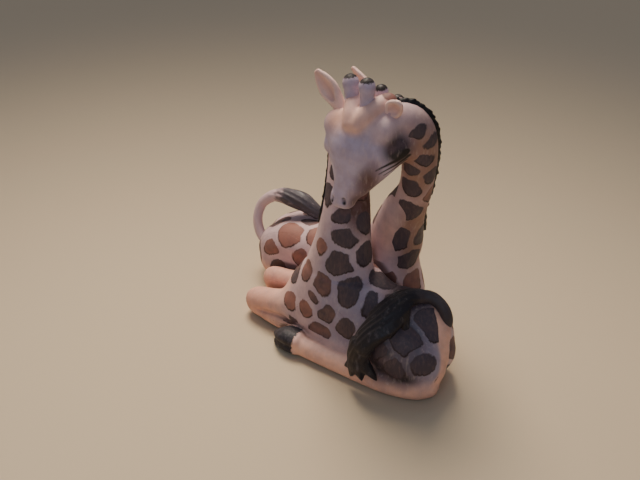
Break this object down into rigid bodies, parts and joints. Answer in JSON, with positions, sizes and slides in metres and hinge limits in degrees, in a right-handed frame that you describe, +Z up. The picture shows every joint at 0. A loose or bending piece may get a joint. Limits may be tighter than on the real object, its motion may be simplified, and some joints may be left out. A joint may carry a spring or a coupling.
{
  "type": "giraffe pair statue",
  "caption": "Small painted statue of a pair of giraffes lying side by side, heading opposite ways, with crossed necks and lowered heads.",
  "frame": {"origin": "middle of the outline of the underside, on the surface that the statue stands on", "axes": "+Z up; the two trunks lie along X, the front giraffe heading along -X on the -Y side and the back giraffe heading along +X on the +Y side"},
  "size_m": [0.1174, 0.0754, 0.123],
  "materials": {
    "spotted_paint": "matt hand-painted patches on a pinkish cream ground",
    "face_paint": "matt hand-painted pinkish cream with dark lashes",
    "leg_paint": "matt hand-painted peach pink with charcoal hooves",
    "ear_paint": "matt hand-painted pink and cream",
    "horn_paint": "matt hand-painted cream with black caps",
    "tail_paint": "matt hand-painted, black brushed tuft on a pink stem",
    "mane_paint": "matt dark brown, brushed",
    "dowel_wood": "bare turned wood"
  },
  "bodies": {
    "root": {"front_trunk": "spotted_paint", "front_neck": "spotted_paint", "front_head": "face_paint", "front_left_ear": "ear_paint", "front_right_ear": "ear_paint", "front_left_ossicone": "horn_paint", "front_right_ossicone": "horn_paint", "front_left_foreleg": "leg_paint", "front_right_foreleg": "leg_paint", "front_left_hind_leg": "leg_paint", "front_right_hind_leg": "leg_paint", "front_tail": "tail_paint", "front_neck_dowel": "dowel_wood", "front_head_dowel": "dowel_wood", "back_trunk": "spotted_paint", "back_neck": "spotted_paint", "back_head": "face_paint", "back_left_ear": "ear_paint", "back_right_ear": "ear_paint", "back_left_ossicone": "horn_paint", "back_right_ossicone": "horn_paint", "back_left_foreleg": "leg_paint", "back_right_foreleg": "leg_paint", "back_left_hind_leg": "leg_paint", "back_right_hind_leg": "leg_paint", "back_tail": "tail_paint", "back_neck_dowel": "dowel_wood", "back_head_dowel": "dowel_wood", "trunk_dowels": "dowel_wood"}
  },
  "joints": []
}
